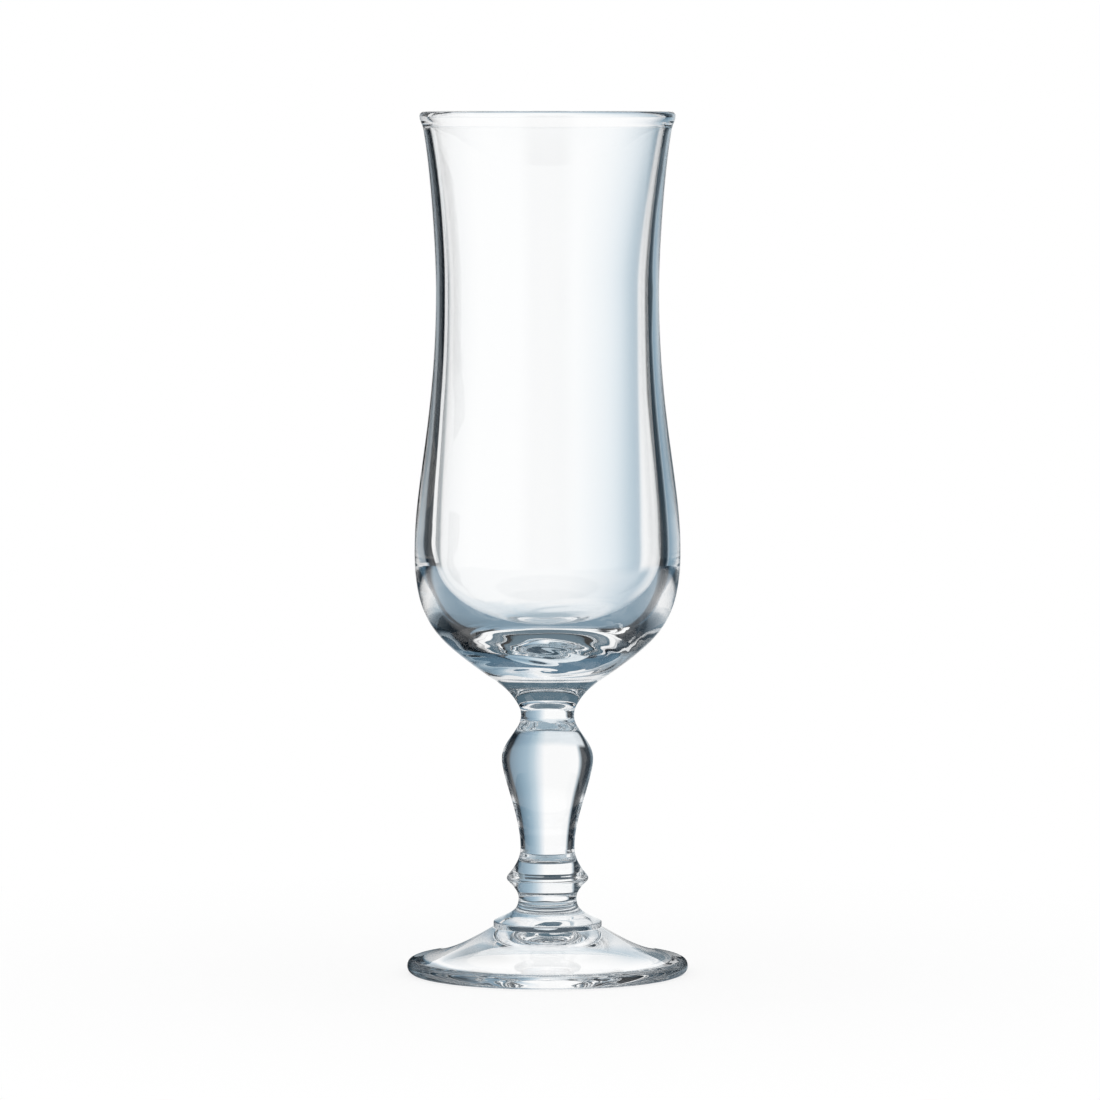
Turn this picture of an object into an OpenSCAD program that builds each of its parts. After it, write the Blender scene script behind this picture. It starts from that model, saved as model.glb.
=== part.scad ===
// Champagne flute of clear glass: a flared bowl on a baluster stem with a ring knop and a domed foot.
// It is six gathers of glass, stacked on one axis and joined hot at flat seams.
// Millimetres, +Z up, origin at the centre of the ring that the foot rests on.

/* [Foot] */
// Diameter of the foot at its edge
foot_d = 57.2; // [48:0.2:68]
// Height of the foot, from the table to the seam under the base knop
foot_h = 9.5; // [8:0.1:14]
// Thickness of the foot at its edge
foot_edge_t = 3; // [2:0.1:4]
// How far the foot's rounded edge reaches in from its diameter
foot_edge_round = 1.3; // [0.8:0.1:2.5]
// Slope of the foot's top where it leaves the edge, in degrees
foot_edge_slope = 9; // [4:1:16]
// Slope of the foot's top where it meets the base knop, in degrees
foot_seat_slope = 31; // [22:1:42]
// Width of the flat ring that rests on the table
rest_w = 2.6; // [1.5:0.1:5]
// Thickness of the glass between the top of the dome under the foot and the seam
dome_cover = 2.5; // [1:0.1:4]
// Slope of the dome where it meets the flat ring, in degrees
dome_slope = 8; // [4:1:16]

/* [Base knop] */
// Diameter of the base knop where it sits on the foot
base_knop_d = 22; // [18:0.2:27]
// Height of the base knop between its two seams
base_knop_h = 5.9; // [4.8:0.1:9]
// Height of the short upright wall of the base knop
base_knop_wall = 1; // [0.5:0.1:1.8]
// Rounding of the edge between that wall and the shoulder
base_knop_round = 0.25; // [0.1:0.05:0.4]
// Slope of the base knop's shoulder, in degrees
base_knop_slope = 30; // [20:1:40]

/* [Ring knop] */
// Diameter of the seam between the base knop and the ring knop
lower_neck_d = 11.8; // [9:0.1:14]
// Diameter of the ring at its edge
ring_d = 16.6; // [15.5:0.1:20]
// Height of the ring knop between its two seams
ring_knop_h = 10.4; // [8.5:0.1:14]
// Height of the ring's edge above the lower seam
ring_edge_z = 4; // [3.2:0.1:5]
// Rounding of the ring's edge
ring_round = 0.8; // [0.3:0.05:1]
// Slope of the ring's lower flank, in degrees
ring_lower_slope = 46; // [38:1:56]
// Slope of the ring's upper flank, in degrees
ring_upper_slope = 54; // [44:1:62]

/* [Baluster] */
// Diameter of the seam between the ring knop and the baluster
middle_neck_d = 11; // [9:0.1:13]
// Largest diameter of the baluster
baluster_d = 18.6; // [15.5:0.1:23]
// Height of the baluster between its two seams
baluster_h = 24.7; // [21.5:0.1:32]
// Height of the baluster's shoulder above its lower seam
baluster_shoulder_z = 18; // [14:0.1:18.5]

/* [Neck collar] */
// Diameter of the two seams of the neck collar
upper_neck_d = 11.9; // [10:0.1:14]
// Depth of the hollow around the neck collar
neck_hollow = 0.55; // [0.2:0.05:0.9]
// Height of the neck collar between its two seams
neck_h = 4.2; // [3:0.1:7]

/* [Bowl] */
// Height of the bowl from its seam to the rim
bowl_h = 120.3; // [108:0.1:150]
// Diameter of the bowl where its flare turns into the round bottom
flare_d = 28.6; // [24:0.2:34]
// Height of that turn above the bowl's seam
flare_z = 7.5; // [6:0.1:9.5]
// Slope of the bowl's underside at that turn, in degrees
flare_slope = 36; // [30:1:42]
// Diameter of the bowl at its belly
belly_d = 54; // [49:0.2:64]
// Height of the belly above the bowl's seam
belly_z = 31.4; // [28:0.1:38]
// Diameter of the bowl at its waist
waist_d = 45.2; // [40:0.2:49]
// Height of the waist above the bowl's seam
waist_z = 84; // [72:0.1:92]
// Diameter of the bowl at its rim
rim_d = 51.8; // [48:0.2:60]
// Outward lean of the wall at the rim, in degrees
rim_lean = 11; // [6:1:18]
// Thickness of the rounded bead along the rim
rim_bead_t = 1.9; // [1.7:0.1:2.6]
// Wall thickness just under the bead
rim_wall = 1.4; // [1:0.1:1.6]
// Height over which the wall swells into the bead, up to the middle of the bead
lip_h = 2.4; // [1.8:0.1:4]
// Wall thickness at the waist
waist_wall = 2.2; // [1.2:0.1:3.5]
// Wall thickness at the belly
belly_wall = 4; // [1.5:0.1:5.5]
// Thickness of the solid base, from the bowl's seam to the bottom of the drink
base_t = 13.2; // [11:0.1:20]

/* [Smoothness] */
// Steps along each curve of an outline
curve_steps = 14; // [8:1:24]
// Sides of the round shapes
round_steps = 144; // [48:12:240]

/* [Hidden] */
$fn = round_steps;

// Clear glass with the faint blue grey that its thick parts show
GLASS = [0.80, 0.87, 0.91, 0.55];

// Heights of the seams above the table
base_knop_z = foot_h;
ring_knop_z = base_knop_z + base_knop_h;
baluster_z = ring_knop_z + ring_knop_h;
neck_z = baluster_z + baluster_h;
bowl_z = neck_z + neck_h;

// Travel directions along an outline, in degrees
OUT = 0;
UP = 90;
IN = 180;
DOWN = 270;

// The neck collar's outline is one arc, and its end slopes carry on into the baluster and the bowl
neck_arc_r = (pow(neck_h / 2, 2) + pow(neck_hollow, 2)) / (2 * neck_hollow);
neck_lean = asin(neck_h / 2 / neck_arc_r);

// The bead is a round lip on the rim, and the leaning wall swells into it without a crease
bead_r = rim_bead_t / 2;
bead_centre = [rim_d / 2 - bead_r, bowl_h - bead_r];
bead_outside = bead_centre + bead_r * heading(OUT);
bead_inside = bead_centre + bead_r * heading(IN);
wall_top = bead_centre - lip_h * heading(UP - rim_lean);
wall_outside = wall_top + rim_wall / 2 * heading(OUT - rim_lean);
wall_inside = wall_top + rim_wall / 2 * heading(IN - rim_lean);

// Unit vector in a travel direction
function heading(angle) = [cos(angle), sin(angle)];

// Point at share t along a cubic curve from a to d with handles b and c
function cubic(a, b, c, d, t) =
    pow(1 - t, 3) * a + 3 * pow(1 - t, 2) * t * b + 3 * (1 - t) * t * t * c + pow(t, 3) * d;

// Points of a curve from a, left in direction a_dir, up to but without d, reached in direction d_dir.
// The two pulls are the lengths of the handles as shares of the way from a to d.
function flank(a, a_dir, d, d_dir, pulls) =
    let (way = norm(d - a),
         b = a + pulls[0] * way * heading(a_dir),
         c = d - pulls[1] * way * heading(d_dir))
    [for (i = [0 : curve_steps - 1]) cubic(a, b, c, d, i / curve_steps)];

// Points of an arc about a centre, up to but without its end
function arc(centre, radius, from, to) =
    [for (i = [0 : curve_steps - 1]) centre + radius * heading(from + (to - from) * i / curve_steps)];

// A gather of glass turned about the axis, from the outline of one half, set on the height z
module turned(outline, z) {
    color(GLASS) translate([0, 0, z]) rotate_extrude() polygon(outline);
}

// Round foot: a flat ring to rest on, a dome pushed up inside it, a rounded edge and a domed top
module foot() {
    edge_r = foot_d / 2;
    rest_r = edge_r - foot_edge_round;
    dome_r = rest_r - rest_w;
    dome_top = [0, foot_h - dome_cover];
    edge = [edge_r, foot_edge_t / 2];
    top_edge = [rest_r, foot_edge_t];
    seat = [base_knop_d / 2, foot_h];
    turned(concat(
        flank(dome_top, OUT, [dome_r, 0], OUT - dome_slope, [0.45, 0.4]),
        [[dome_r, 0]],
        flank([rest_r, 0], OUT, edge, UP, [0.4, 0.4]),
        flank(edge, UP, top_edge, IN - foot_edge_slope, [0.4, 0.4]),
        flank(top_edge, IN - foot_edge_slope, seat, IN - foot_seat_slope, [0.42, 0.42]),
        [seat, [0, foot_h]]
    ), 0);
}

// Base knop: a short upright wall, a sloping shoulder and a hollow curve into the lower neck
module base_knop() {
    base_r = base_knop_d / 2;
    wall_top = [base_r, base_knop_wall - base_knop_round];
    shoulder = [base_r - base_knop_round, base_knop_wall + base_knop_round];
    neck = [lower_neck_d / 2, base_knop_h];
    turned(concat(
        [[0, 0], [base_r, 0]],
        flank(wall_top, UP, shoulder, IN - base_knop_slope, [0.5, 0.5]),
        flank(shoulder, IN - base_knop_slope, neck, UP, [0.5, 0.45]),
        [neck, [0, base_knop_h]]
    ), base_knop_z);
}

// Ring knop: a narrow rounded edge between two hollow flanks
module ring_knop() {
    lower_dir = OUT + ring_lower_slope;
    upper_dir = IN - ring_upper_slope;
    edge = [ring_d / 2 - ring_round, ring_edge_z];
    edge_start = edge + ring_round * heading(lower_dir - UP);
    edge_end = edge + ring_round * heading(upper_dir - UP);
    lower_neck = [lower_neck_d / 2, 0];
    upper_neck = [middle_neck_d / 2, ring_knop_h];
    turned(concat(
        [[0, 0]],
        flank(lower_neck, UP, edge_start, lower_dir, [0.32, 0.3]),
        arc(edge, ring_round, lower_dir - UP, upper_dir - UP),
        flank(edge_end, upper_dir, upper_neck, UP, [0.3, 0.45]),
        [upper_neck, [0, ring_knop_h]]
    ), ring_knop_z);
}

// Baluster: a long taper from the middle neck up to a full shoulder, then in to the neck collar
module baluster() {
    lower_neck = [middle_neck_d / 2, 0];
    shoulder = [baluster_d / 2, baluster_shoulder_z];
    upper_neck = [upper_neck_d / 2, baluster_h];
    turned(concat(
        [[0, 0]],
        flank(lower_neck, UP, shoulder, UP, [0.34, 0.22]),
        flank(shoulder, UP, upper_neck, UP + neck_lean, [0.34, 0.36]),
        [upper_neck, [0, baluster_h]]
    ), baluster_z);
}

// Neck collar: a short hollow-sided spool between the baluster and the bowl
module neck_collar() {
    seam_r = upper_neck_d / 2;
    arc_centre = [seam_r - neck_hollow + neck_arc_r, neck_h / 2];
    turned(concat(
        [[0, 0]],
        arc(arc_centre, neck_arc_r, IN + neck_lean, IN - neck_lean),
        [[seam_r, neck_h], [0, neck_h]]
    ), neck_z);
}

// Outside of the bowl, from its seam up to the bead
function bowl_outside() =
    let (seam = [upper_neck_d / 2, 0],
         turn = [flare_d / 2, flare_z],
         belly = [belly_d / 2, belly_z],
         waist = [waist_d / 2, waist_z])
    concat(
        flank(seam, UP - neck_lean, turn, flare_slope, [0.38, 0.42]),
        flank(turn, flare_slope, belly, UP, [0.4, 0.5]),
        flank(belly, UP, waist, UP, [0.27, 0.48]),
        flank(waist, UP, wall_outside, UP - rim_lean, [0.28, 0.22]),
        flank(wall_outside, UP - rim_lean, bead_outside, UP, [0.4, 0.4])
    );

// Inside of the bowl, from the bead down to the middle of its round bottom
function bowl_inside() =
    let (waist = [waist_d / 2 - waist_wall, waist_z],
         belly = [belly_d / 2 - belly_wall, belly_z],
         bottom = [0, base_t])
    concat(
        flank(bead_inside, DOWN, wall_inside, DOWN - rim_lean, [0.4, 0.4]),
        flank(wall_inside, DOWN - rim_lean, waist, DOWN, [0.22, 0.28]),
        flank(waist, DOWN, belly, DOWN, [0.48, 0.27]),
        flank(belly, DOWN, bottom, IN, [0.45, 0.4]),
        [bottom]
    );

// Bowl: a solid base, a wall that thins towards the mouth, and a round bead along the rim
module bowl() {
    turned(concat(
        [[0, 0]],
        bowl_outside(),
        arc(bead_centre, bead_r, OUT, IN),
        bowl_inside()
    ), bowl_z);
}

foot();
base_knop();
ring_knop();
baluster();
neck_collar();
bowl();
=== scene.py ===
# %% [markdown]
# # A champagne glass, turned from its own outlines
#
# The real glass is made from six gathers of hot clear glass that are joined on one axis: a foot,
# a base knop, a ring knop, a baluster, a neck collar and a bowl. The shared frame holds each of
# them as a plain solid in its true place and size. In this notebook we first build the bright
# studio that makes clear glass visible at all. Then we read the outline of each solid, turn a much
# finer skin from it and give the skin the small marks of handwork.
#
# We begin by loading the frame.

# %% Load the frame
import math

import bmesh
import bpy
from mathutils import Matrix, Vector, noise


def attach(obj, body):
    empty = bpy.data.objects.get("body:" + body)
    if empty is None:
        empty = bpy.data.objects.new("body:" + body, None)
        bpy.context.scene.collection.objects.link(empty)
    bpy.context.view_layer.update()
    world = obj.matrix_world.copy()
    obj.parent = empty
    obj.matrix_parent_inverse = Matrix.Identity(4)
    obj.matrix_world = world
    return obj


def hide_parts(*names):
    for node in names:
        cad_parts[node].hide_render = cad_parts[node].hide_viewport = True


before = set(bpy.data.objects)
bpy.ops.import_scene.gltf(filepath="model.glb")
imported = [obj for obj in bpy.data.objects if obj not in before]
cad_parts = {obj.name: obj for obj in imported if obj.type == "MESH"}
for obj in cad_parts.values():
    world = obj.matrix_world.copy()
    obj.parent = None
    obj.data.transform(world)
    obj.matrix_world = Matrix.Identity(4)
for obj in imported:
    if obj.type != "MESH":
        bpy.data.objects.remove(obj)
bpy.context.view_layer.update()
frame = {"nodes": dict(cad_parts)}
scene = bpy.context.scene
print("pieces in the frame:", ", ".join(frame["nodes"]))

# %% [markdown]
# ## The camera
#
# A table glass is often photographed with a long lens from the height of its rim, so that its sides
# stay nearly parallel, the mouth closes to a line and the foot still shows as an ellipse. We could
# place a camera by eye, but it is easier to state three plain facts: how far away it stands, how
# high it is, and how wide a strip of the world fills the picture at the glass. The lens follows
# from them.

# %% Set up the camera
VIEW_DISTANCE = 1.4
VIEW_HEIGHT = 0.178
VIEW_WIDTH = 0.2231
VIEW_AIM = Vector((0.0005, 0, 0.0862))

lens = bpy.data.cameras.new("long_lens")
lens.sensor_width = 36
lens.lens = lens.sensor_width * VIEW_DISTANCE / VIEW_WIDTH
lens.clip_end = 10
camera = bpy.data.objects.new("camera", lens)
drop = VIEW_HEIGHT - VIEW_AIM.z
camera.location = (VIEW_AIM.x, -math.sqrt(VIEW_DISTANCE ** 2 - drop ** 2), VIEW_HEIGHT)
camera.rotation_euler = (VIEW_AIM - camera.location).to_track_quat("-Z", "Y").to_euler()
scene.collection.objects.link(camera)
scene.camera = camera
scene.view_settings.view_transform = "Standard"
print("lens:", round(lens.lens), "mm")

# %% [markdown]
# Light that enters thick glass may bounce inside it many times before it leaves, above all in the
# foot's edge. With too few bounces those places would turn black for no good reason, so we allow
# plenty of them.

# %% Let light travel far inside the glass
scene.cycles.max_bounces = 32
scene.cycles.transmission_bounces = 32
scene.cycles.glossy_bounces = 24
print("bounces allowed:", scene.cycles.max_bounces)

# %% [markdown]
# ## The studio around the glass
#
# Clear glass has no colour of its own to show. What we see in it is the room, bent and squeezed
# into its edges. A photographer uses this: a white wall stands behind the glass, and dark boards
# stand to its left and right, just out of the picture. The white fills the middle of every piece
# and the boards draw the black lines along its sides.
#
# The room is far away compared with the glass, so we paint it on the world. Every direction gets a
# heading, which is 0 straight behind the glass and grows to the right, and a rise above the
# horizon. First come a few helpers that keep the node code short.

# %% Helpers for colours and nodes
def tone(red, green, blue):
    """A colour as it looks on the screen, from 0 to 255, turned into the light values of a shader."""
    light = []
    for part in (red, green, blue):
        part /= 255
        light.append(part / 12.92 if part <= 0.04045 else ((part + 0.055) / 1.055) ** 2.4)
    return (*light, 1)


def node_of(tree, kind, **settings):
    """Adds a node to a tree, with its settings."""
    node = tree.nodes.new(kind)
    for key, value in settings.items():
        setattr(node, key, value)
    return node


def plug(tree, value, socket):
    """Feeds a socket from a link, or sets it to a plain value."""
    if isinstance(value, bpy.types.NodeSocket):
        tree.links.new(value, socket)
    else:
        socket.default_value = value


def sum_of(tree, operation, *values):
    """The result of a sum on links and plain numbers."""
    node = node_of(tree, "ShaderNodeMath", operation=operation)
    for value, socket in zip(values, node.inputs):
        plug(tree, value, socket)
    return node.outputs[0]


def blend_of(tree, share, below, above):
    """A colour that goes from below to above as the share goes from 0 to 1."""
    node = node_of(tree, "ShaderNodeMix", data_type="RGBA")
    plug(tree, share, node.inputs["Factor"])
    plug(tree, below, node.inputs[6])
    plug(tree, above, node.inputs[7])
    return node.outputs[2]


def tones_along(tree, value, low, high, stops):
    """A colour that changes along a value, through stops of (value, colour)."""
    share = node_of(tree, "ShaderNodeMapRange")
    plug(tree, value, share.inputs["Value"])
    share.inputs["From Min"].default_value = low
    share.inputs["From Max"].default_value = high
    ramp = node_of(tree, "ShaderNodeValToRGB")
    plug(tree, share.outputs[0], ramp.inputs[0])
    elements = ramp.color_ramp.elements
    elements.remove(elements[1])
    for count, (stop, colour) in enumerate(stops):
        place = (stop - low) / (high - low)
        element = elements.new(place) if count else elements[0]
        element.position = place
        element.color = colour
    return ramp.outputs[0]


print("a middle grey on the screen is", round(tone(128, 128, 128)[0], 2), "as light")

# %% [markdown]
# Now the tones of the room, in order of heading from the left round to the right. Straight behind
# is the white wall. To the right it falls off into a soft blue grey, which gives the stem its cool
# shading, and beyond both ends stand the dark boards. The room behind the camera is dim. Below the
# table's height the room is a little greyer, and its left board is narrower.
#
# The hollow bowl hardly bends the light that passes through both of its walls, so it shows a much
# narrower part of the room. It gets tones of its own: white, with a grey board at the left and a cool
# fall to the right. What the outside of the glass mirrors has its own tones too.

# %% Tones of the studio
WHITE = (1, 1, 1, 1)
NOTHING = (0, 0, 0, 1)
BOARD = tone(24, 33, 41)
BACK_WALL = [
    (-31, WHITE),
    (3, WHITE),
    (8, tone(228, 235, 241)),
    (13, tone(192, 210, 221)),
    (20, tone(160, 185, 201)),
    (30, tone(136, 163, 181)),
    (43, tone(108, 134, 152)),
]
FRONT_DIM = tone(44, 54, 62)
LEFT_BOARD = [
    (-180, FRONT_DIM),
    (-165, FRONT_DIM),
    (-150, WHITE),
    (-100, WHITE),
    (-78, tone(150, 164, 174)),
    (-66, tone(96, 110, 121)),
    (-60, BOARD),
    (-38.5, BOARD),
    (-35, tone(170, 184, 193)),
]
RIGHT_BOARD = [
    (48, BOARD),
    (68, BOARD),
    (80, tone(110, 126, 138)),
    (95, tone(190, 203, 211)),
    (115, WHITE),
    (150, WHITE),
    (165, FRONT_DIM),
]
ROOM_FRONT = tone(175, 190, 200)
LOW_WHITE = tone(232, 238, 242)
LOW_ROOM = [
    (-180, ROOM_FRONT),
    (-110, ROOM_FRONT),
    (-72, LOW_WHITE),
    (-64, BOARD),
    (-54, BOARD),
    (-48, LOW_WHITE),
    (2, LOW_WHITE),
    (8, tone(208, 221, 229)),
    (13, tone(176, 198, 211)),
    (20, tone(146, 173, 191)),
    (30, tone(124, 152, 172)),
    (41, tone(98, 123, 141)),
    (46, BOARD),
    (66, BOARD),
    (76, tone(150, 165, 178)),
    (110, ROOM_FRONT),
]
MIRRORED = [
    (-180, WHITE),
    (-62, WHITE),
    (-52, BOARD),
    (-14, BOARD),
    (-5, WHITE),
    (5, WHITE),
    (14, tone(118, 136, 148)),
    (58, tone(60, 76, 88)),
    (68, WHITE),
]
THROUGH_BOWL = [
    (-44, WHITE),
    (-36, tone(160, 168, 173)),
    (-25, tone(132, 140, 145)),
    (-21, WHITE),
    (1, WHITE),
    (5, tone(226, 235, 241)),
    (8, tone(184, 203, 215)),
    (11, tone(160, 184, 200)),
    (13, WHITE),
]
BELOW_BOWL = [(1, WHITE), (8, tone(205, 218, 227)), (15, tone(172, 193, 207)), (26, WHITE)]
TABLE_SHADE = tone(150, 172, 185)
CEILING = tone(90, 112, 125)
print("tones round the room:", len(LEFT_BOARD) + len(BACK_WALL) + len(RIGHT_BOARD))

# %% [markdown]
# The wall and the boards also have a lower and an upper end. The next stops follow the rise, from
# straight down at -90 to straight up at 90. In a list that is named a share, WHITE stands for all of
# a tone and NOTHING for none of it. High above the table a dim ceiling begins.

# %% Where the tones begin and end by rise
HIGH_ROOM = [(-90, WHITE), (49, WHITE), (52, CEILING), (90, CEILING)]
DOWN_SHARE = [(-90, WHITE), (-55, WHITE), (-40, NOTHING)]
BOARD_SHARE = [(-90, NOTHING), (-22, NOTHING), (-18, WHITE), (28, WHITE), (36, NOTHING)]
BELOW_SHARE = [(-90, WHITE), (-18, WHITE), (-12, NOTHING)]
BOWL_SHARE = [(-90, NOTHING), (-38, NOTHING), (-30, WHITE), (22, WHITE), (30, NOTHING)]
MIRROR_SHARE = [(-90, NOTHING), (-78, NOTHING), (-62, WHITE), (44, WHITE), (54, NOTHING)]
print("the boards stand between", BOARD_SHARE[2][0], "and", BOARD_SHARE[3][0], "degrees of rise")

# %% [markdown]
# The world joins these tones by rise. Rays that come straight from the camera, and the light that
# falls on the table, see plain white, so the picture's background and the level of the light stay
# even. Only rays that were bent or mirrored by the glass see the studio. The Light Path node also
# counts how often a ray has passed through a glass surface: twice means solid glass, four times
# means both walls of the bowl, and none at all is a reflection on the outside of the glass.

# %% Paint the studio on the world
studio = bpy.data.worlds.new("studio")
studio.use_nodes = True
scene.world = studio
room = studio.node_tree
room.nodes.clear()

direction = node_of(room, "ShaderNodeTexCoord").outputs["Generated"]
across, away, upward = node_of(room, "ShaderNodeSeparateXYZ").outputs
plug(room, direction, across.node.inputs[0])
heading = sum_of(room, "DEGREES", sum_of(room, "ARCTAN2", across, away))
rise = sum_of(room, "DEGREES", sum_of(room, "ARCSINE", upward))

NO_SURFACE = 0
SOLID_SURFACES = 2


def passes(tree, more_than):
    """One if the ray has passed through more glass surfaces than this, and nothing otherwise."""
    path = node_of(tree, "ShaderNodeLightPath")
    return sum_of(tree, "GREATER_THAN", path.outputs["Transmission Depth"], more_than + 0.5)


def by_heading(stops):
    """A colour that changes round the room."""
    return tones_along(room, heading, -180, 180, stops)


def by_rise(stops):
    """A colour that changes from straight down to straight up."""
    return tones_along(room, rise, -90, 90, stops)


low_room = blend_of(room, by_rise(DOWN_SHARE), by_heading(LOW_ROOM), TABLE_SHADE)
over_table = sum_of(room, "GREATER_THAN", rise, 0.0)
outside_boards = blend_of(room, over_table, low_room, by_rise(HIGH_ROOM))
boards = by_heading(LEFT_BOARD + BACK_WALL + RIGHT_BOARD)
through_solid = blend_of(room, by_rise(BOARD_SHARE), outside_boards, boards)
bowl_tones = blend_of(room, by_rise(BELOW_SHARE), by_heading(THROUGH_BOWL), by_heading(BELOW_BOWL))
through_bowl = blend_of(room, by_rise(BOWL_SHARE), outside_boards, bowl_tones)
through_glass = blend_of(room, passes(room, SOLID_SURFACES), through_solid, through_bowl)
mirrored_room = blend_of(room, by_rise(MIRROR_SHARE), WHITE, by_heading(MIRRORED))
seen_in_glass = blend_of(room, passes(room, NO_SURFACE), mirrored_room, through_glass)

path = node_of(room, "ShaderNodeLightPath")
by_glass = sum_of(room, "MAXIMUM", path.outputs["Is Glossy Ray"], path.outputs["Is Transmission Ray"])
backdrop = node_of(room, "ShaderNodeBackground")
plug(room, blend_of(room, by_glass, WHITE, seen_in_glass), backdrop.inputs["Color"])
plug(room, backdrop.outputs[0], node_of(room, "ShaderNodeOutputWorld").inputs["Surface"])
print("nodes in the studio:", len(room.nodes))

# %% [markdown]
# ## Sheets close to the glass
#
# The edge of the bowl's wall bends light far less than the solid stem does, and the far boards alone
# would leave it pale. Photographers hang narrow strips nearer to a glass for this. Ours are painted
# sheets that glow by themselves and show only in the glass, not to the camera. For an even sheet a
# plane with a glowing material would do. Our tones change across the sheet, so every corner of its
# mesh carries a colour of its own.

# %% The mesh of a painted sheet
def sheet_mesh(name, rows):
    """A mesh from rows of (place, tone) points, with the tone kept on each corner."""
    mesh = bpy.data.meshes.new(name)
    sheet = bmesh.new()
    glow = sheet.verts.layers.float_color.new("glow")
    grid = []
    for row in rows:
        corners = []
        for place, colour in row:
            corner = sheet.verts.new(place)
            corner[glow] = colour
            corners.append(corner)
        grid.append(corners)
    for near, far in zip(grid, grid[1:]):
        for count in range(len(near) - 1):
            sheet.faces.new((near[count], near[count + 1], far[count + 1], far[count]))
    sheet.to_mesh(mesh)
    sheet.free()
    print(name, "has", len(mesh.polygons), "faces")
    return mesh


# %% [markdown]
# Each sheet is meant for one kind of glass. Light at the edge of a wall is mirrored once inside the
# wall, and the Light Path node counts that as a glossy bounce. Light through solid glass isn't
# mirrored, light through the hollow bowl passes four surfaces, and the outside only mirrors. A flat
# sheet can also be set to show only from above. Where a sheet must not show, its paint lets the
# light straight through.

# %% The paint of a sheet
def sheet_paint(name, seen_in, only_from_above):
    """Paint that glows in the tones of the mesh's corners, for one kind of glass."""
    paint = bpy.data.materials.new(name)
    paint.use_nodes = True
    tree = paint.node_tree
    tree.nodes.clear()
    lit = node_of(tree, "ShaderNodeEmission")
    painted = node_of(tree, "ShaderNodeVertexColor", layer_name="glow")
    plug(tree, painted.outputs["Color"], lit.inputs["Color"])
    hidden = passes(tree, SOLID_SURFACES)
    if seen_in == "hollow":
        hidden = sum_of(tree, "SUBTRACT", 1.0, hidden)
    if seen_in == "edge":
        bounces = node_of(tree, "ShaderNodeLightPath").outputs["Glossy Depth"]
        unmirrored = sum_of(tree, "LESS_THAN", bounces, 0.5)
        hidden = sum_of(tree, "MAXIMUM", hidden, unmirrored)
    if only_from_above:
        below = node_of(tree, "ShaderNodeNewGeometry").outputs["Backfacing"]
        hidden = sum_of(tree, "MAXIMUM", hidden, below)
    shown = node_of(tree, "ShaderNodeMixShader")
    plug(tree, hidden, shown.inputs[0])
    plug(tree, lit.outputs[0], shown.inputs[1])
    plug(tree, node_of(tree, "ShaderNodeBsdfTransparent").outputs[0], shown.inputs[2])
    plug(tree, shown.outputs[0], node_of(tree, "ShaderNodeOutputMaterial").inputs["Surface"])
    return paint


# %% Hang a painted sheet
def painted_sheet(name, rows, seen_in="solid", only_from_above=False):
    """A glowing sheet from rows of (place, tone) points, seen in solid, edge, hollow or outside."""
    mesh = sheet_mesh(name, rows)
    mesh.materials.append(sheet_paint(name, seen_in, only_from_above))
    sheet = bpy.data.objects.new(name, mesh)
    scene.collection.objects.link(sheet)
    sheet.visible_camera = False
    sheet.visible_diffuse = False
    sheet.visible_shadow = False
    sheet.visible_glossy = seen_in == "outside"
    sheet.visible_transmission = seen_in != "outside"


def spot_at(turn, distance, height):
    """The place at a heading in degrees, a distance from the glass's axis and a height."""
    angle = math.radians(turn)
    return (distance * math.sin(angle), distance * math.cos(angle), height)


# %% [markdown]
# A strip on either side leans like the side of the bowl does. So we give the heading of its middle at
# a few heights, and its tones at a few angles outward from the middle. A third strip darkens the
# right of the hollow bowl, just inside the edge of its wall.

# %% Hang a dark strip on either side of the bowl
LEFT = -1
RIGHT = 1
STRIP_BLACK = tone(14, 20, 25)
STRIP_GREY = tone(104, 120, 132)
STRIP_SOFT = tone(162, 170, 176)
STRIP_PALE = tone(190, 204, 213)


def hung_strip(name, side, distance, middles, tones, seen_in):
    """A strip from (height, heading of its middle) rows and (angle outward, tone) columns."""
    rows = []
    for height, middle in middles:
        row = []
        for outward, paint in tones:
            row.append((spot_at(side * (middle + outward), distance, height), paint))
        rows.append(row)
    painted_sheet(name, rows, seen_in)


LEFT_R = 0.3
LEFT_MIDDLES = [
    (0.03, 46.5), (0.05, 45), (0.064, 42.5), (0.073, 40.5), (0.095, 34.5), (0.125, 33.5), (0.17, 31),
]
LEFT_TONES = [
    (-33, WHITE), (-26, STRIP_PALE), (-12, STRIP_SOFT), (-10, STRIP_GREY), (-8, STRIP_BLACK),
    (7.5, STRIP_BLACK), (9.5, WHITE), (16, WHITE),
]
hung_strip("left_strip", LEFT, LEFT_R, LEFT_MIDDLES, LEFT_TONES, "edge")
RIGHT_R = 0.2
RIGHT_MIDDLES = [(0.03, 49), (0.08, 50), (0.12, 48), (0.13, 44), (0.14, 36), (0.18, 31)]
RIGHT_TONES = [
    (-10, STRIP_PALE), (-7, STRIP_GREY), (-4.5, STRIP_BLACK), (14, STRIP_BLACK), (16, STRIP_GREY),
]
hung_strip("right_strip", RIGHT, RIGHT_R, RIGHT_MIDDLES, RIGHT_TONES, "edge")
HOLLOW_R = 0.3
HOLLOW_STARTS = [
    (0.05, 41), (0.066, 38), (0.0715, 35.5), (0.08, 30), (0.092, 26), (0.13, 26), (0.18, 25),
]
HOLLOW_TONES = [(-3, WHITE), (0, STRIP_BLACK), (22, STRIP_BLACK), (25, WHITE)]
hung_strip("hollow_strip", RIGHT, HOLLOW_R, HOLLOW_STARTS, HOLLOW_TONES, "hollow")

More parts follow.
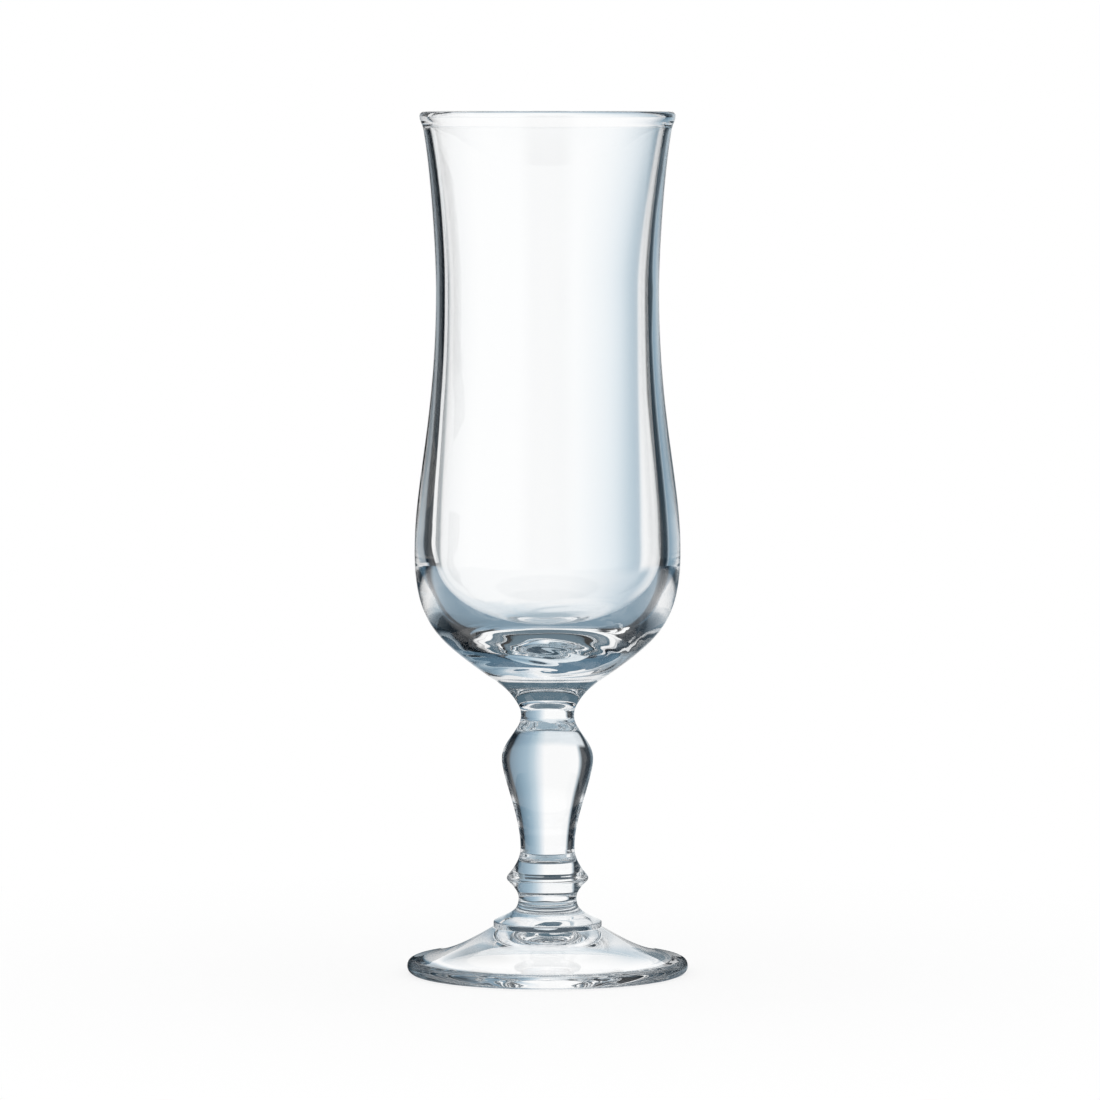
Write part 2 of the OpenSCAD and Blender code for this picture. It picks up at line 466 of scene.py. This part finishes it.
# %% [markdown]
# The thick bottom of the bowl looks down on the table, and the foot's edge looks at the table right
# beside it. Two flat rings stand for what they see there: a blue grey shade under the bowl, and a
# dark shade close round the foot. The shade under the bowl is darker where it meets the strips.

# %% Lay the shades under the bowl and round the foot
SHADE = tone(92, 121, 141)
SHADE_DARK = tone(30, 42, 52)
SHADE_PALE = tone(120, 146, 163)
UNDER_BOWL = [
    (-180, SHADE_PALE), (-110, SHADE_PALE), (-58, SHADE_PALE), (-52, SHADE_DARK), (-43, SHADE_DARK),
    (-37, SHADE), (0, SHADE), (36, SHADE), (43, SHADE_DARK), (58, SHADE_DARK),
    (66, SHADE_PALE), (110, SHADE_PALE), (180, SHADE_PALE),
]
UNDER_BOWL_EDGES = (0.0095, 0.12)
UNDER_BOWL_HEIGHT = 0.058
FOOT_SHADE = tone(58, 75, 87)
FOOT_SHADE_STEP = 12
ROUND_FOOT = [(turn, FOOT_SHADE) for turn in range(-180, 181, FOOT_SHADE_STEP)]
ROUND_FOOT_EDGES = (0.0292, 0.05)
ROUND_FOOT_HEIGHT = 0.0001


def shade_ring(name, tones, edges, height):
    """A flat ring round the glass with a tone for each heading, seen only from above."""
    rows = []
    for distance in edges:
        rows.append([(spot_at(turn, distance, height), paint) for turn, paint in tones])
    painted_sheet(name, rows, only_from_above=True)


shade_ring("shade_under_bowl", UNDER_BOWL, UNDER_BOWL_EDGES, UNDER_BOWL_HEIGHT)
shade_ring("shade_round_foot", ROUND_FOOT, ROUND_FOOT_EDGES, ROUND_FOOT_HEIGHT)

# %% [markdown]
# Light that enters the left of the foot's edge runs inside the plate and leaves it low down at the
# right. A low dark card stands there, a little way from the foot, and darkens the left of the edge.
# It doesn't lean, so both of its ends count from straight behind the glass.

# %% Stand a low card to the right of the foot
CARD_R = 0.045
CARD_ENDS = [(0.0002, 0), (0.012, 0)]
CARD_TONES = [
    (28, tone(150, 172, 185)), (38, tone(84, 106, 118)), (60, tone(60, 78, 88)),
    (85, tone(38, 52, 60)), (100, tone(38, 52, 60)),
]
hung_strip("low_card", RIGHT, CARD_R, CARD_ENDS, CARD_TONES, "solid")

# %% [markdown]
# The rounded edge of the foot also mirrors what stands beside it. In a white room it would look
# milky, so a low dark wall stands on either side. It shows only on the outside of the glass.

# %% Stand low walls for the edge of the foot to mirror
WALL_R = 0.06
WALL_ENDS = [(0.0002, 0), (0.018, 0)]
WALL_DARK = tone(40, 50, 58)
WALL_TONES = [(14, WHITE), (22, WALL_DARK), (96, WALL_DARK), (114, tone(150, 168, 178)), (128, WHITE)]
hung_strip("left_wall", LEFT, WALL_R, WALL_ENDS, WALL_TONES, "outside")
hung_strip("right_wall", RIGHT, WALL_R, WALL_ENDS, WALL_TONES, "outside")

# %% [markdown]
# ## The table
#
# The glass stands on a white table that runs into the white background without an edge. A table
# that only glows would lose the glass's shadow, and one that only reflects light would turn grey
# towards the horizon. So its middle reflects a quarter of its light, enough for a soft shadow
# around the foot, and that share fades to nothing just before its rim.

# %% Lay the table
TABLE_R = 0.2
TABLE_SIDES = 96
TABLE_COLOUR = (0.95, 0.95, 0.95, 1)
SHADOW_R = 0.06
SHADOW_END_R = 0.19
SHADOW_SHARE = 0.25

table_mesh = bpy.data.meshes.new("table")
top = bmesh.new()
bmesh.ops.create_circle(top, cap_ends=True, segments=TABLE_SIDES, radius=TABLE_R)
top.to_mesh(table_mesh)
top.free()
white_top = bpy.data.materials.new("white_table_top")
white_top.use_nodes = True
top_tree = white_top.node_tree
top_tree.nodes.clear()
spot = node_of(top_tree, "ShaderNodeNewGeometry").outputs["Position"]
from_middle = node_of(top_tree, "ShaderNodeVectorMath", operation="LENGTH")
plug(top_tree, spot, from_middle.inputs[0])
full_share = (SHADOW_SHARE, SHADOW_SHARE, SHADOW_SHARE, 1)
share_stops = [(0, full_share), (SHADOW_R, full_share), (SHADOW_END_R, NOTHING)]
matt_share = tones_along(top_tree, from_middle.outputs["Value"], 0, TABLE_R, share_stops)
matt = node_of(top_tree, "ShaderNodeBsdfDiffuse")
matt.inputs["Color"].default_value = TABLE_COLOUR
white_glow = node_of(top_tree, "ShaderNodeEmission")
both = node_of(top_tree, "ShaderNodeMixShader")
plug(top_tree, matt_share, both.inputs[0])
plug(top_tree, white_glow.outputs[0], both.inputs[1])
plug(top_tree, matt.outputs[0], both.inputs[2])
plug(top_tree, both.outputs[0], node_of(top_tree, "ShaderNodeOutputMaterial").inputs["Surface"])
table_mesh.materials.append(white_top)
table = bpy.data.objects.new("table", table_mesh)
scene.collection.objects.link(table)
table.visible_transmission = False
table.visible_glossy = False
print("table across:", 2 * TABLE_R, "m")

# %% [markdown]
# ## Clear glass
#
# The glass is clear soda-lime glass, polished by the flame and faintly blue in its thick parts. A
# shader that is the same everywhere looks like a computer drawing, so a weak and slow unevenness in
# the tint and the roughness stands for the flame's work. It is kept so low that edges stay crisp.
#
# Where two pieces were joined hot there is no surface left inside the glass. Our pieces are closed
# meshes, so each has a flat face at its seam, and that face gets a second material that lets light
# straight through.

# %% Mix the glass
GLASS_TINT = (0.986, 0.992, 0.995, 1)
GLASS_PALE = (0.996, 0.998, 0.998, 1)
GLASS_BEND = 1.52
FLAME_SMOOTH = 0.005
FLAME_ROUGH = 0.01
TINT_PATCH = 0.03
ROUGH_PATCH = 0.012
PATCH_DETAIL = 2

clear_glass = bpy.data.materials.new("clear_glass")
clear_glass.use_nodes = True
melt = clear_glass.node_tree
skin = melt.nodes["Principled BSDF"]
skin.inputs["IOR"].default_value = GLASS_BEND
skin.inputs["Transmission Weight"].default_value = 1
melt_spot = node_of(melt, "ShaderNodeTexCoord").outputs["Object"]


def flame_marks(size, low, high):
    """A slow unevenness between two values, with patches of about this size."""
    patches = node_of(melt, "ShaderNodeTexNoise")
    plug(melt, melt_spot, patches.inputs["Vector"])
    patches.inputs["Scale"].default_value = 1 / size
    patches.inputs["Detail"].default_value = PATCH_DETAIL
    marks = node_of(melt, "ShaderNodeMapRange")
    plug(melt, patches.outputs[0], marks.inputs["Value"])
    marks.inputs["To Min"].default_value = low
    marks.inputs["To Max"].default_value = high
    return marks.outputs[0]


tint = blend_of(melt, flame_marks(TINT_PATCH, 0, 1), GLASS_TINT, GLASS_PALE)
plug(melt, tint, skin.inputs["Base Color"])
plug(melt, flame_marks(ROUGH_PATCH, FLAME_SMOOTH, FLAME_ROUGH), skin.inputs["Roughness"])
print("glass: bends light by", GLASS_BEND, "and is at most", FLAME_ROUGH, "rough")

fused_seam = bpy.data.materials.new("fused_seam")
fused_seam.use_nodes = True
fused_seam.node_tree.nodes["Principled BSDF"].inputs["Alpha"].default_value = 0

# %% [markdown]
# ## From a solid to its outline
#
# Every piece was turned about the upright axis, so one half of its cross-section says all about it.
# The solid's mesh has a row of corners exactly on the plane to the right of the axis. We pick those
# corners and walk along the edges between them from one end to the other. Corners in the middle of a
# straight step say nothing about the curve, so they are left out.

# %% Read an outline
ON_PLANE = 2e-7
STRAIGHT = math.radians(0.05)


def outline_of(name):
    """The outline of a solid as (radius, height) points, from one end to the other."""
    node = frame["nodes"][name]
    spots = []
    for corner in node.data.vertices:
        place = node.matrix_world @ corner.co
        on_plane = abs(place.y) < ON_PLANE and place.x > -ON_PLANE
        spots.append((round(place.x, 7), round(place.z, 7)) if on_plane else None)
    beside = {}
    for edge in node.data.edges:
        one, other = (spots[index] for index in edge.vertices)
        if one and other and one != other:
            beside.setdefault(one, set()).add(other)
            beside.setdefault(other, set()).add(one)
    ends = [spot for spot, others in beside.items() if len(others) == 1]
    ends.sort(key=lambda spot: (spot[1], spot[0]))
    walk = [ends[0]]
    onward = list(beside[ends[0]])
    while onward:
        walk.append(onward[0])
        onward = [spot for spot in beside[walk[-1]] if spot != walk[-2]]
    points = [Vector(spot) for spot in walk]
    bent = []
    for before, point, after in zip(points, points[1:], points[2:]):
        if (point - before).angle(after - point) > STRAIGHT:
            bent.append(point)
    return [points[0], *bent, points[-1]]


for name in frame["nodes"]:
    print(name, "outline points:", len(outline_of(name)))

# %% [markdown]
# The outline is a chain of straight steps, and glass shows every facet, even every uneven bend. A
# boat builder would lay a springy strip of wood through the points, and a cubic spline is the same
# thing in numbers: its bend changes evenly from point to point. A true corner, such as the edge
# where the dome meets the foot's ring, has to stay a corner. We know it because it turns much more
# than the points beside it do, and we lay a strip of its own on either side. Where an outline ends
# on the axis, its strip runs on a little to the far side, so that it crosses the axis level.

# %% Find the corners of an outline
CORNER_TURN = math.radians(6)
CORNER_SHARE = 1.8


def smooth_runs(points):
    """An outline cut at its corners into runs that are smooth."""
    turns = [0]
    for before, point, after in zip(points, points[1:], points[2:]):
        turns.append((point - before).angle(after - point))
    turns.append(0)
    runs = [[points[0]]]
    for index in range(1, len(points)):
        runs[-1].append(points[index])
        beside = max(turns[index - 1], turns[min(index + 1, len(points) - 1)])
        if turns[index] > max(CORNER_TURN, CORNER_SHARE * beside):
            runs.append([points[index]])
    return runs


# %% Lay a springy strip through the points
def bends_of(points, spans):
    """How strongly a springy strip through the points bends at each of them."""
    if len(points) < 3:
        return [Vector((0, 0))] * len(points)
    weights = []
    pulls = []
    for index in range(1, len(points) - 1):
        back = (points[index] - points[index - 1]) / spans[index - 1]
        onward = (points[index + 1] - points[index]) / spans[index]
        weight = 2 * (spans[index - 1] + spans[index])
        pull = 6 * (onward - back)
        if index == 1:
            weight += spans[0]
        else:
            carry = spans[index - 1] / weights[-1]
            weight -= carry * spans[index - 1]
            pull -= carry * pulls[-1]
        if index == len(points) - 2:
            weight += spans[-1]
        weights.append(weight)
        pulls.append(pull)
    bends = [pulls[-1] / weights[-1]] * 2
    for index in range(len(weights) - 2, -1, -1):
        bends.insert(0, (pulls[index] - spans[index + 1] * bends[0]) / weights[index])
    return [bends[0]] + bends


AXIS_POINTS = 3


def past_axis(run):
    """The first points of a run, mirrored to the far side of the axis if the run starts on it."""
    if run[0].x >= ON_PLANE:
        return []
    return [Vector((-point.x, point.y)) for point in run[AXIS_POINTS:0:-1]]


def smooth(points, step_at):
    """Points on springy strips through an outline, about one step apart, with the step by height."""
    lowest = min(point.y for point in points)
    highest = max(point.y for point in points)
    curve = []
    for run in smooth_runs(points):
        ahead = past_axis(run)
        lath = ahead + run + past_axis(run[::-1])[::-1]
        spans = [(after - before).length for before, after in zip(lath, lath[1:])]
        bends = bends_of(lath, spans)
        for index in range(len(ahead), len(ahead) + len(run) - 1):
            span = spans[index]
            count = max(1, round(span / step_at(lath[index].y)))
            for part in range(count):
                gone = span * part / count
                left = span - gone
                point = (bends[index] * left ** 3 + bends[index + 1] * gone ** 3) / (6 * span)
                point += (lath[index] / span - bends[index] * span / 6) * left
                point += (lath[index + 1] / span - bends[index + 1] * span / 6) * gone
                curve.append(Vector((max(point.x, 0), min(max(point.y, lowest), highest))))
    curve.append(points[-1])
    return curve


for name in frame["nodes"]:
    print(name, "smooth runs:", [len(run) for run in smooth_runs(outline_of(name))])

# %% [markdown]
# ## From an outline to a piece of glass
#
# A lathe would swing the outline round the axis, and the Screw modifier or the Spin tool could do
# that for us. We write it out instead, because then each ring can be shifted a little, point by
# point, for the ripples that a tool or a hot joint leaves. A point on the axis becomes a single
# corner, and an open end is closed with a seam face.

# %% Rings and the skin between them
ROUND_STEPS = 240


def turned_ring(skin_mesh, point, ripple):
    """A ring of corners round the axis, or a single corner on it."""
    if point.x < ON_PLANE:
        return [skin_mesh.verts.new((0, 0, point.y))]
    ring = []
    for count in range(ROUND_STEPS):
        angle = 2 * math.pi * count / ROUND_STEPS
        outward, raised = ripple(angle, point.x, point.y)
        radius = point.x + outward
        place = (radius * math.cos(angle), radius * math.sin(angle), point.y + raised)
        ring.append(skin_mesh.verts.new(place))
    return ring


def skin_between(skin_mesh, ring, following):
    """Smooth faces between two rings, one of which may be a single corner."""
    for count in range(ROUND_STEPS):
        after = (count + 1) % ROUND_STEPS
        if len(ring) == 1:
            corners = (ring[0], following[after], following[count])
        elif len(following) == 1:
            corners = (ring[count], ring[after], following[0])
        else:
            corners = (ring[count], ring[after], following[after], following[count])
        skin_mesh.faces.new(corners).smooth = True


# %% Turn a piece
SHARP_TURN = math.radians(40)


def turned_piece(name, step_at, ripple):
    """Turns the glass skin of one piece, with a ripple of (outward, upward) shifts."""
    mesh = bpy.data.meshes.new(name + "_glass")
    skin_mesh = bmesh.new()
    curve = smooth(outline_of(name), step_at)
    rings = [turned_ring(skin_mesh, point, ripple) for point in curve]
    for ring, following in zip(rings, rings[1:]):
        skin_between(skin_mesh, ring, following)
    for ring in (rings[0], rings[-1]):
        if len(ring) > 1:
            skin_mesh.faces.new(ring).material_index = 1
    bmesh.ops.recalc_face_normals(skin_mesh, faces=skin_mesh.faces)
    skin_mesh.to_mesh(mesh)
    skin_mesh.free()
    mesh.materials.append(clear_glass)
    mesh.materials.append(fused_seam)
    mesh.set_sharp_from_angle(angle=SHARP_TURN)
    piece = bpy.data.objects.new(name + "_glass", mesh)
    scene.collection.objects.link(piece)
    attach(piece, "root")
    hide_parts(name)
    print(name, "has", len(mesh.polygons), "faces")


# %% [markdown]
# ## Marks of the hand
#
# Hot glass that is shaped with tools never comes out quite even. Two kinds of marks are enough for
# this glass: a slow waver of the surface, and a thin groove where a tool was held against the turning
# glass. Noise with a fixed seed gives the waver, so every run makes the same glass. All marks die
# away at the joints, so that the two pieces there still meet exactly. A joint lies at the top of
# every piece but the bowl.

# %% Helpers for the marks
SEAM_REST = 0.0006


def top_of(name):
    """The height of the upper end of a piece."""
    return max(point.y for point in outline_of(name))


SEAMS = [top_of(name) for name in frame["nodes"] if name != "bowl"]


def waver(angle, radius, height, size, seed):
    """A slow rise and fall between about -1 and 1, with waves of about this size."""
    place = Vector((radius * math.cos(angle), radius * math.sin(angle), height))
    return noise.noise(place / size + Vector((seed, seed, seed)))


def away_from_seams(height):
    """Nothing on a joint, growing to one a little way from it."""
    return min(1, min(abs(height - seam) for seam in SEAMS) / SEAM_REST)


def groove(height, middle, width):
    """One at the bottom of a groove, falling to nothing on both sides."""
    return math.exp(-((height - middle) / width) ** 2)


print("joints at:", sorted(round(seam * 1000, 1) for seam in SEAMS), "mm")

# %% [markdown]
# ## The foot
#
# The foot is a wide plate of glass, pressed flat while soft and hollowed below into a shallow dome,
# so that the glass stands on a narrow ring. In the middle of the dome is the place where the iron rod
# held the glass while its rim was shaped. It was melted smooth again, but it never becomes quite
# flat. We could carve the scar in sculpt mode. A little noise on the middle of the dome does the
# same and stays the same on every run.

# %% Turn the foot
FINE_STEP = 0.0003
SCAR_R = 0.009
SCAR_DEPTH = 0.00022
SCAR_WAVES = 0.0035
SCAR_SEED = 3.1


def fine_step(height):
    """The same short step at every height."""
    return FINE_STEP


def rod_scar(angle, radius, height):
    """The uneven middle of the dome under the foot."""
    if radius > SCAR_R:
        return 0, 0
    fade = 1 - (radius / SCAR_R) ** 2
    return 0, SCAR_DEPTH * fade * waver(angle, radius, height, SCAR_WAVES, SCAR_SEED)


turned_piece("foot", fine_step, rod_scar)

# %% [markdown]
# ## The base knop
#
# The stem starts as a low cushion of glass on the foot. While it was soft it was closed in with a
# tool, and that left a crease round it which does not run quite level. In Blender the crease could be
# an edge loop pulled inward. Here it is a groove whose height wavers as it goes round.

# %% Turn the base knop
CREASE_LIFT = 0.0021
CREASE_HEIGHT = top_of("foot") + CREASE_LIFT
CREASE_DEPTH = 0.00012
CREASE_WIDTH = 0.00035
DRIFT = 0.0003
DRIFT_WAVES = 0.009
DRIFT_SEED = 7.7
SWAY_DEPTH = 0.00004
SWAY_WAVES = 0.004
SWAY_SEED = 5.2


def knop_crease(angle, radius, height):
    """The crease round the base knop, with a slow waver of the whole cushion."""
    drift = DRIFT * waver(angle, radius, CREASE_HEIGHT, DRIFT_WAVES, DRIFT_SEED)
    inward = CREASE_DEPTH * groove(height, CREASE_HEIGHT + drift, CREASE_WIDTH)
    sway = SWAY_DEPTH * waver(angle, radius, height, SWAY_WAVES, SWAY_SEED)
    return (sway - inward) * away_from_seams(height), 0


turned_piece("base_knop", fine_step, knop_crease)

# %% [markdown]
# ## The ring knop
#
# Above the cushion the stem swells to a ring with a rounded edge. It was turned against a wooden
# tool, which left fine lines round it. Each line is only a few hundredths of a millimetre deep, but
# clear glass bends the light there, so we see it as a thin dark thread.

# %% Turn the ring knop
THREAD_STEP = 0.00015
LINE_LIFTS = (0.0024, 0.0055, 0.0093)
TOOL_LINES = [top_of("base_knop") + lift for lift in LINE_LIFTS]
LINE_DEPTH = 0.00005
LINE_WIDTH = 0.00025
LINE_CHANGE = 0.5
LINE_WAVES = 0.006
LINE_SEED = 2.3


def thread_step(height):
    """The same very short step at every height, fine enough for a thin line."""
    return THREAD_STEP


def tool_lines(angle, radius, height):
    """Thin lines round the ring knop, deeper in some places than in others."""
    depth = LINE_DEPTH * (1 + LINE_CHANGE * waver(angle, radius, height, LINE_WAVES, LINE_SEED))
    inward = depth * sum(groove(height, line, LINE_WIDTH) for line in TOOL_LINES)
    return -inward * away_from_seams(height), 0


turned_piece("ring_knop", thread_step, tool_lines)

# %% [markdown]
# ## The baluster
#
# The long middle of the stem is a drop of solid glass, thick above and slim below. It works as a
# strong lens: what stands on the right shows on the left. Pulling the drop longer left it very
# slightly uneven, which gives the dark lines along its sides their lively edge.

# %% Turn the baluster
PULL_DEPTH = 0.00005
PULL_SQUEEZE = 0.6
PULL_WAVES = 0.005
PULL_SEED = 4.4


def pulled(angle, radius, height):
    """The slow unevenness of glass that was pulled long."""
    wave = waver(angle, radius, height * PULL_SQUEEZE, PULL_WAVES, PULL_SEED)
    return PULL_DEPTH * wave * away_from_seams(height), 0


turned_piece("baluster", fine_step, pulled)

# %% [markdown]
# ## The neck collar
#
# A short collar joins the stem to the bowl. The two were pressed together while they were soft, and
# the glass wrinkled round the joint. The wrinkles are short waves round the collar, strongest just
# above its lower end.

# %% Turn the neck collar
WRINKLE_LIFT = 0.0008
WRINKLE_HEIGHT = top_of("baluster") + WRINKLE_LIFT
WRINKLE_WIDTH = 0.0006
WRINKLE_DEPTH = 0.00012
WRINKLE_WAVES = 0.0016
WRINKLE_SEED = 9.6


def wrinkles(angle, radius, height):
    """Short waves round the lower end of the collar."""
    wave = waver(angle, radius, height, WRINKLE_WAVES, WRINKLE_SEED)
    reach = groove(height, WRINKLE_HEIGHT, WRINKLE_WIDTH)
    return WRINKLE_DEPTH * wave * reach * away_from_seams(height), 0


turned_piece("neck_collar", thread_step, wrinkles)

# %% [markdown]
# ## The bowl
#
# The bowl was blown and then shaped at the mouth. Its outside is even, as if turned in a wet wooden
# mould. The bottom of its hollow is free glass: it set with a swirl in it, which shows as rings and
# curls in the thick bottom. We give only the inner floor this swirl and leave the walls even, so that
# the long lines along them stay clean.
#
# The bottom and the rim need short steps because they bend sharply. The long walls can take longer
# ones, which keeps the mesh light.

# %% Turn the bowl
BOWL_SEAM = top_of("neck_collar")
FLOOR_R = 0.0165
FLOOR_BOTTOM = BOWL_SEAM + 0.0128
FLOOR_TOP = BOWL_SEAM + 0.0208
SWIRL_DEPTH = 0.00022
SWIRL_TURN = 220
SWIRL_WAVES = 0.0045
SWIRL_SEED = 6.5
SHORT_STEP = 0.00045
LONG_STEP = 0.0013
WALL_BOTTOM = BOWL_SEAM + 0.0403
WALL_TOP = top_of("bowl") - 0.007


def floor_swirl(angle, radius, height):
    """The swirl in the floor of the hollow."""
    if radius > FLOOR_R or not FLOOR_BOTTOM < height < FLOOR_TOP:
        return 0, 0
    fade = 1 - (radius / FLOOR_R) ** 2
    swirled = angle + SWIRL_TURN * radius
    return 0, SWIRL_DEPTH * fade * waver(swirled, radius, height, SWIRL_WAVES, SWIRL_SEED)


def bowl_step(height):
    """Long steps up the wall, and short ones at the bottom and the rim."""
    return LONG_STEP if WALL_BOTTOM <= height <= WALL_TOP else SHORT_STEP


turned_piece("bowl", bowl_step, floor_swirl)
